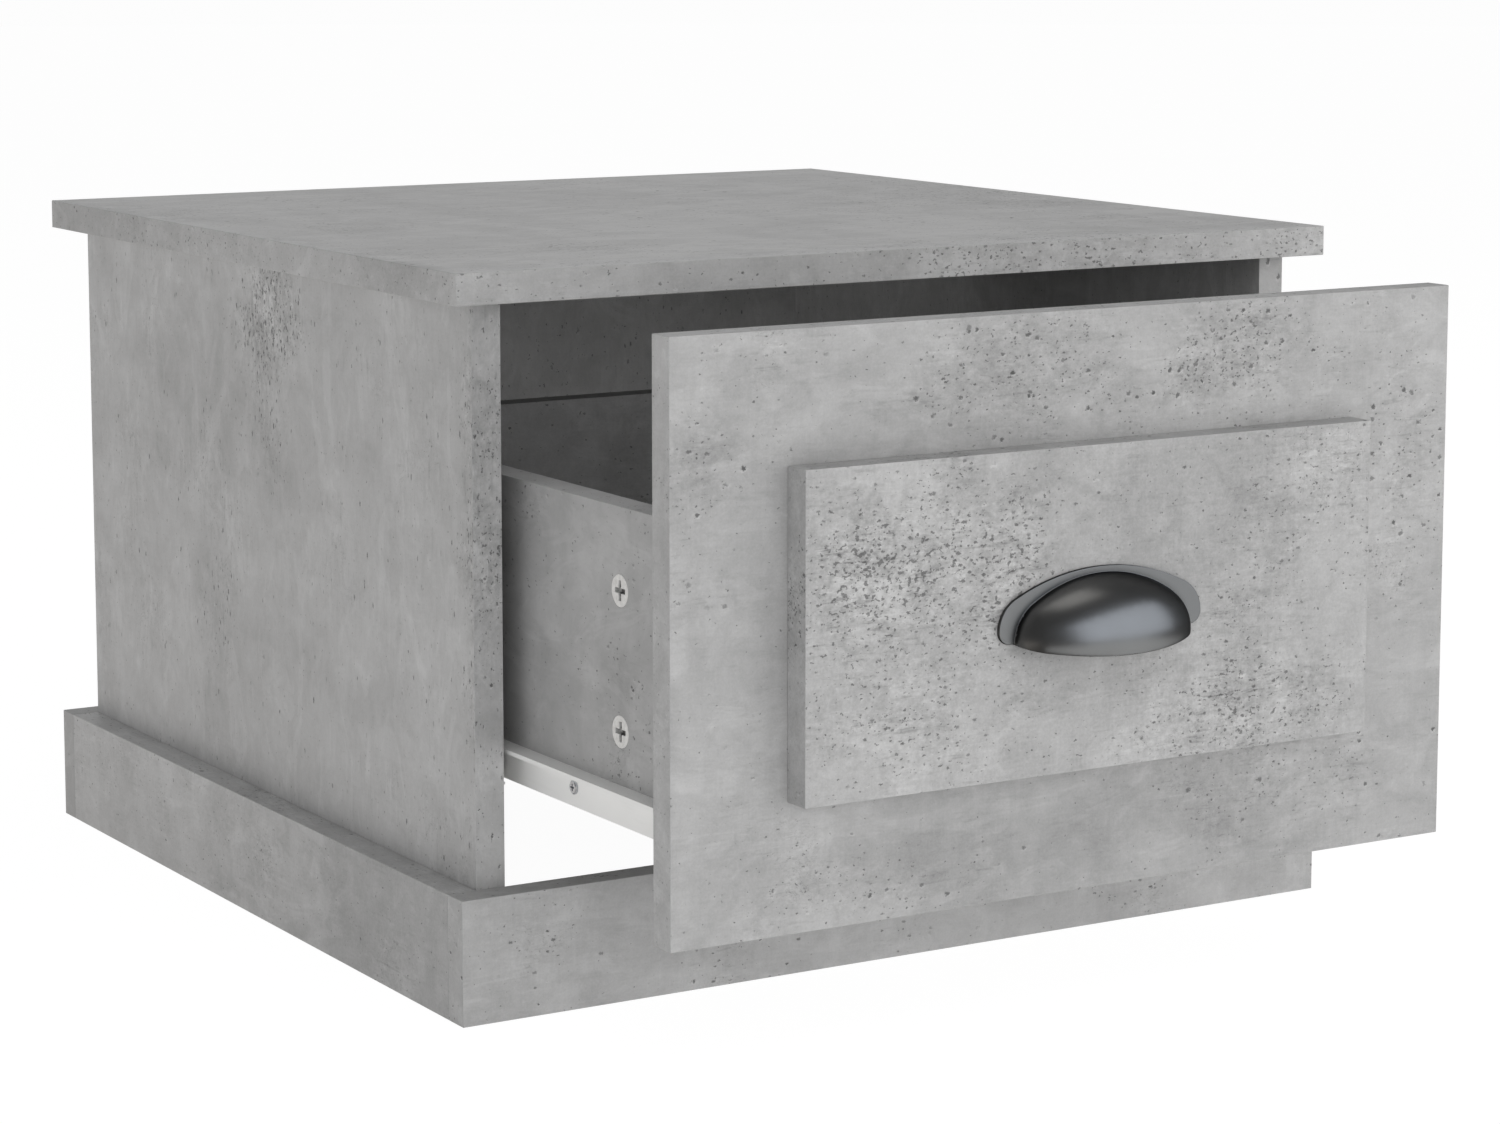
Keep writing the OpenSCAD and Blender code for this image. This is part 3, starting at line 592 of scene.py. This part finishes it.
# %% Gunmetal
def gunmetal(name):
    material, tree = new_finish(name)
    spot = place_on(tree)
    cast = noise(tree, spot, 60.0, 3.0, 0.5)
    fine = noise(tree, spot, 1500.0, 2.0, 0.6)
    brushed = noise(tree, stretched(tree, spot, 0.06, 1.0, 1.0), 1800.0, 2.0, 0.6)
    near_only = {"only_local": True, "samples": 8}
    crease_shade = tree.node("ShaderNodeAmbientOcclusion", near_only, {"Distance": 0.006}, 1)
    plate = mix_colour(tree, cast, (0.120, 0.120, 0.118, 1.0), (0.138, 0.139, 0.139, 1.0))
    return close_finish(material, tree, {
        # A painted shade: the colour goes dark where the Ambient Occlusion node finds the crease
        # between the dome and the flange.
        "Base Color": mix_colour(tree, soft_step(tree, crease_shade, 0.90, 0.40), plate, grey(0.03)),
        "Roughness": 0.30 + (fine - 0.5) * 0.06 + (brushed - 0.5) * 0.06,
        "Metallic": 1.0,
        "Specular Tint": grey(0.25),
        "Normal": bump(tree, fine + brushed, 0.00001, 0.08),
    })


dress(gunmetal("gunmetal_plate"), "cup_pull")

# %% [markdown]
# ## Beech dowels
# The dowels hide in the boards, but the part may be taken apart, so they get the pale pink-brown
# of beech with its short dark flecks along the rod.

# %% Beech
def beech(name):
    material, tree = new_finish(name)
    spot = place_on(tree)
    rings = noise(tree, spot, 160.0, 3.0, 0.5, 0.8)
    flecks = soft_step(tree, noise(tree, spot, 1100.0, 2.0, 0.6), 0.60, 0.72)
    colour = mix_colour(tree, rings, (0.50, 0.33, 0.20, 1.0), (0.68, 0.50, 0.33, 1.0))
    return close_finish(material, tree, {
        "Base Color": mix_colour(tree, flecks * 0.6, colour, (0.36, 0.21, 0.12, 1.0)),
        "Roughness": 0.62 + (rings - 0.5) * 0.2,
        "Normal": bump(tree, rings - flecks, 0.00005, 0.5),
    })


dress(beech("beech"), "carcass_dowels", "drawer_dowels")

# %% [markdown]
# ## Softened edges
# No real edge is perfectly sharp. A foil edge strip is scraped to a radius of about 0.4 mm and
# catches a thin line of light; cast metal and nylon are rounder for their size. The solids'
# meshes stay as they are: a Weld joins the split corners, a Decimate in its Dissolve mode joins
# the triangles of a flat, a Bevel rounds whatever is sharper than 40 degrees, and Weighted Normal
# keeps the flats flat. The runners are thin folded sheet with holes close to the folds, and the
# screws and dowels are hidden or tiny, so these keep their edges as they are.

# %% Rounding the edges
def soften(width, *names):
    for name in names:
        piece = nodes[name]
        weld = piece.modifiers.new("join_corners", "WELD")
        weld.merge_threshold = 0.00001
        whole = piece.modifiers.new("whole_faces", "DECIMATE")
        whole.decimate_type = "DISSOLVE"
        whole.angle_limit = math.radians(0.5)
        edge = piece.modifiers.new("soft_edges", "BEVEL")
        edge.width = width
        edge.segments = 2
        edge.limit_method = "ANGLE"
        edge.angle_limit = math.radians(40)
        edge.use_clamp_overlap = False
        piece.modifiers.new("flat_faces", "WEIGHTED_NORMAL")
    print(f"rounded by {width * 1000:.2f} mm: {len(names)} piece(s)")


BOARDS = [name for name in nodes
          if nodes[name].material_slots[0].material.name.startswith("foil_")]
soften(0.0004, *BOARDS)
soften(0.0003, *ROLLERS, "cup_pull")
soften(0.0002, "drawer_cam_locks", "top_cam_locks")

# %% [markdown]
# ## The floor
# A studio floor is a sheet so large that no rim is in sight. A flat ring of corners with one
# face is all it takes. It lies half a millimetre below the boards, so that the two never fight
# for the same height.

# %% The floor
FLOOR_RADIUS, FLOOR_CORNERS, FLOOR_Z = 14.0, 64, -0.0005
turns = [math.tau * corner / FLOOR_CORNERS for corner in range(FLOOR_CORNERS)]
ring = [(FLOOR_RADIUS * math.cos(turn), FLOOR_RADIUS * math.sin(turn), FLOOR_Z) for turn in turns]
floor_mesh = bpy.data.meshes.new("studio_floor")
floor_mesh.from_pydata(ring, [], [tuple(range(FLOOR_CORNERS))])
floor = bpy.data.objects.new("studio_floor", floor_mesh)
bpy.context.scene.collection.objects.link(floor)
print("floor", FLOOR_RADIUS * 2, "m across")

# %% [markdown]
# ## The floor's paint
# A product of this kind is shown on plain white, so the floor is near white to the eye: to the
# camera it glows, while the light that it sends to the table is that of a matt floor with a
# small lift. Light Path tells the two apart. Under the table the glow shows only where the open
# drawer lets it be seen. The rest is a painted shade, dark grey to the camera, or a white line
# would shine through the gap under the closed drawer's front. What polish sees is a third thing:
# a glossy ray finds a dim room in front of the table and to its right, and a bright one behind
# it and to its left. That keeps the foil's print clear on the front and gives the top and the
# left side their sheen, as a black cloth and a white wall would.

# %% The floor's paint
LIFT, GLOW, GLOW_SHARE = 0.427, 1.05, 0.85
DIM_ROOM, BRIGHT_ROOM = 0.21, 0.84
TABLE_MIDDLE_Y = 0.088
UNDER_BOARDS = (0.246, 0.238)


def in_shade(tree, across, back):
    """Where the floor's glow gets a painted shade: inside the plinth, apart from the part that
    shows through the open drawer.
    """
    inside = soft_step(tree, tree.sum("ABSOLUTE", across), *UNDER_BOARDS)
    inside = inside * soft_step(tree, tree.sum("ABSOLUTE", back - TABLE_MIDDLE_Y), *UNDER_BOARDS)
    in_front = soft_step(tree, back, 0.050, 0.025)
    to_the_right = soft_step(tree, across, 0.015, 0.040)
    return inside * tree.sum("MAXIMUM", in_front, to_the_right)


paint, tree = new_finish("pale_floor")
rays = tree.node("ShaderNodeLightPath", None, None, 0)
across = tree.node("ShaderNodeSeparateXYZ", None, {"Vector": tree.node("ShaderNodeNewGeometry")})
back = across.beside(1)
matt = tree.node("ShaderNodeBsdfDiffuse", None, {"Color": grey(0.80)})
lift = tree.node("ShaderNodeEmission", None, {"Color": grey(1.0), "Strength": LIFT})
lit = tree.node("ShaderNodeAddShader", None, {0: matt, 1: lift})
# A painted shade: to the camera the floor under the table is dark grey, apart from the part seen
# through the open drawer.
white = mix_colour(tree, in_shade(tree, across, back), grey(1.0), grey(0.02))
glow = tree.node("ShaderNodeEmission", None, {"Color": white, "Strength": GLOW})
seen = tree.node("ShaderNodeMixShader", None, {0: rays * GLOW_SHARE, 1: lit, 2: glow})
behind = soft_step(tree, back - across, -0.2, 0.8)
room = mix_colour(tree, behind, grey(DIM_ROOM, 0.06), grey(BRIGHT_ROOM, 0.06))
polish = tree.node("ShaderNodeEmission", None, {"Color": room, "Strength": 1.0})
glossy = rays.beside("Is Glossy Ray")
all_rays = tree.node("ShaderNodeMixShader", None, {0: glossy, 1: seen, 2: polish})
tree.node("ShaderNodeOutputMaterial", None, {"Surface": all_rays})
floor_mesh.materials.append(paint)
print(f"{paint.name}: {len(paint.node_tree.nodes)} nodes")

# %% [markdown]
# ## The air
# The background does the same three jobs as the floor: white to the camera, a soft haze that is
# brighter near the horizon for the boards, and the dim and the bright room for polish.

# %% The air
BACKDROP = 0.98
world = bpy.data.worlds.new("studio_air")
bpy.context.scene.world = world
world.use_nodes = True
world.node_tree.nodes.clear()
air = Wire(world.node_tree)
rays = air.node("ShaderNodeLightPath", None, None, 0)
rise = air.node("ShaderNodeSeparateXYZ", None, {"Vector": air.node("ShaderNodeTexCoord")}, 2)
haze = soft_step(air, rise, 0.05, 0.50, 1.0, 0.15)
room = soft_step(air, rise.beside(1), 0.55, 0.82, DIM_ROOM, BRIGHT_ROOM)
dimmed = haze + (room - haze) * rays.beside("Is Glossy Ray")
unseen = air.node("ShaderNodeBackground", None, {"Color": grey(1.0), "Strength": dimmed})
backdrop = air.node("ShaderNodeBackground", None, {"Color": grey(1.0), "Strength": BACKDROP})
sky = air.node("ShaderNodeMixShader", None, {0: rays, 1: unseen, 2: backdrop})
air.node("ShaderNodeOutputWorld", None, {"Surface": sky})
print(f"{world.name}: {len(world.node_tree.nodes)} nodes")

# %% [markdown]
# ## The lamps
# Three soft panels light the boards: a key from the right, a broad one from the front and one
# above. Small lamps would throw hard shadows into the open drawer. The panels are hidden from
# glossy rays, so that no bright rectangle lies on the foil. The Standard view keeps the white
# floor white, where a film-like one would grey it.

# %% The lamps
AIM = Vector((0.0, 0.0, 0.18))


def soft_lamp(name, azimuth, elevation, distance, wide, high, watts, tint=(1.0, 1.0, 1.0)):
    """A flat panel that faces the table. Azimuth 0 is straight in front, 90 is to the right."""
    lamp = bpy.data.lights.new(name, "AREA")
    lamp.shape = "RECTANGLE"
    lamp.size = wide
    lamp.size_y = high
    lamp.energy = watts
    lamp.color = tint
    made = bpy.data.objects.new(name, lamp)
    turn, tip = math.radians(azimuth), math.radians(elevation)
    way = Vector((math.sin(turn) * math.cos(tip), -math.cos(turn) * math.cos(tip), math.sin(tip)))
    made.location = AIM + way * distance
    made.rotation_euler = (-way).to_track_quat("-Z", "Y").to_euler()
    made.visible_camera = False
    made.visible_glossy = False
    bpy.context.scene.collection.objects.link(made)
    print(f"{name}: {watts} W at {tuple(round(c, 2) for c in made.location)}")
    return made


soft_lamp("key_lamp", 62, 8, 2.8, 4.0, 1.0, 19.5, (1.0, 0.99, 0.98))
soft_lamp("front_lamp", -5, 30, 3.2, 4.0, 2.4, 22.5)
soft_lamp("top_lamp", 20, 80, 3.0, 4.0, 4.0, 22.0)
bpy.context.scene.view_settings.view_transform = "Standard"

# %% [markdown]
# ## The cards
# Polished metal needs something bright and shaped to mirror, so a photographer sets up cards for
# it: one stands right of the front, one hangs above, and one lies on the floor. Here a card is a
# panel that only mirrors, and Light Linking keeps it to the pull and the drawer's cam locks, so
# the cards don't wash out the foil.

# %% The cards
shiny = bpy.data.collections.new("sees_the_cards")
for name in ("cup_pull", "drawer_cam_locks"):
    shiny.objects.link(nodes[name])


def mirrored_card(*settings):
    card = soft_lamp(*settings)
    card.visible_glossy = True
    card.visible_diffuse = False
    card.light_linking.receiver_collection = shiny
    return card


mirrored_card("upright_card", 31, 18, 2.3, 3.8, 1.7, 51.0, (0.84, 0.90, 1.0))
mirrored_card("upper_card", 16, 80, 2.25, 1.2, 1.2, 6.5, (1.0, 0.98, 0.95))
lying = mirrored_card("lying_card", 20, -4, 1.4, 1.4, 1.7, 12.4, (0.97, 0.99, 1.0))
lying.location.z = 0.002
lying.rotation_euler = (math.pi, 0.0, math.radians(26))

# %% [markdown]
# ## Closing
# The dressed table must stay inside the solids' box.
